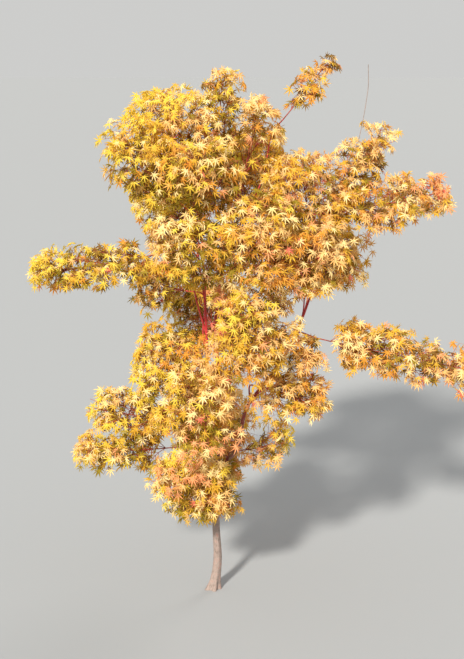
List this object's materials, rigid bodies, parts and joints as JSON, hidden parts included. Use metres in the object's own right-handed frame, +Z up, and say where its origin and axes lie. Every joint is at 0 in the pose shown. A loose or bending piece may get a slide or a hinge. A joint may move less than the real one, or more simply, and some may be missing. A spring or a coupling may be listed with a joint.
{
  "type": "japanese maple tree",
  "caption": "Young Japanese maple tree in autumn leaf: a slim trunk forks low into upright leaders, whose boughs end in airy masses of small star-shaped leaves. Rooted in the ground.",
  "frame": {"origin": "middle of the trunk's flat cut at ground level", "axes": "+Z up along the trunk, +X to the right and +Y away from the viewer of the picture"},
  "size_m": [1.3931, 0.9207, 1.788],
  "materials": {
    "bark": "smooth matt beige-grey bark with faint upright lines",
    "young_bark": "smooth satin coral-red young bark, browner towards the trunk",
    "leaves_gold": "thin matt autumn leaf, golden yellow",
    "leaves_peach": "thin matt autumn leaf, peach orange",
    "leaves_olive": "thin matt autumn leaf, olive gold"
  },
  "bodies": {
    "root": {"bare_whip": "young_bark", "bough_back_high": "young_bark", "bough_back_left": "young_bark", "bough_back_mid": "young_bark", "bough_back_right": "young_bark", "bough_crest": "young_bark", "bough_far_arm": "young_bark", "bough_front_heart": "young_bark", "bough_front_high": "young_bark", "bough_front_left": "young_bark", "bough_front_low": "young_bark", "bough_front_mid": "young_bark", "bough_left_arm": "young_bark", "bough_left_foot": "young_bark", "bough_left_leader": "young_bark", "bough_left_low": "young_bark", "bough_left_mid": "young_bark", "bough_left_shoulder": "young_bark", "bough_left_waist": "young_bark", "bough_middle_leader": "young_bark", "bough_right_arm": "young_bark", "bough_right_chest": "young_bark", "bough_right_foot": "young_bark", "bough_right_high": "young_bark", "bough_right_leader": "young_bark", "bough_right_low": "young_bark", "bough_right_mid": "young_bark", "bough_shoot": "young_bark", "leaves_back_high": "leaves_gold", "leaves_back_left": "leaves_gold", "leaves_back_mid": "leaves_gold", "leaves_back_right": "leaves_peach", "leaves_crest": "leaves_peach", "leaves_far_arm": "leaves_peach", "leaves_front_heart": "leaves_peach", "leaves_front_high": "leaves_gold", "leaves_front_left": "leaves_gold", "leaves_front_low": "leaves_olive", "leaves_front_mid": "leaves_gold", "leaves_left_arm": "leaves_gold", "leaves_left_foot": "leaves_olive", "leaves_left_leader": "leaves_gold", "leaves_left_low": "leaves_olive", "leaves_left_mid": "leaves_olive", "leaves_left_shoulder": "leaves_gold", "leaves_left_waist": "leaves_gold", "leaves_middle_leader": "leaves_gold", "leaves_right_arm": "leaves_peach", "leaves_right_chest": "leaves_peach", "leaves_right_foot": "leaves_peach", "leaves_right_high": "leaves_peach", "leaves_right_leader": "leaves_peach", "leaves_right_low": "leaves_peach", "leaves_right_mid": "leaves_peach", "leaves_shoot": "leaves_gold", "leaves_skirt_back": "leaves_olive", "leaves_skirt_front": "leaves_olive", "leaves_skirt_left": "leaves_olive", "trunk": "bark"}
  },
  "joints": []
}
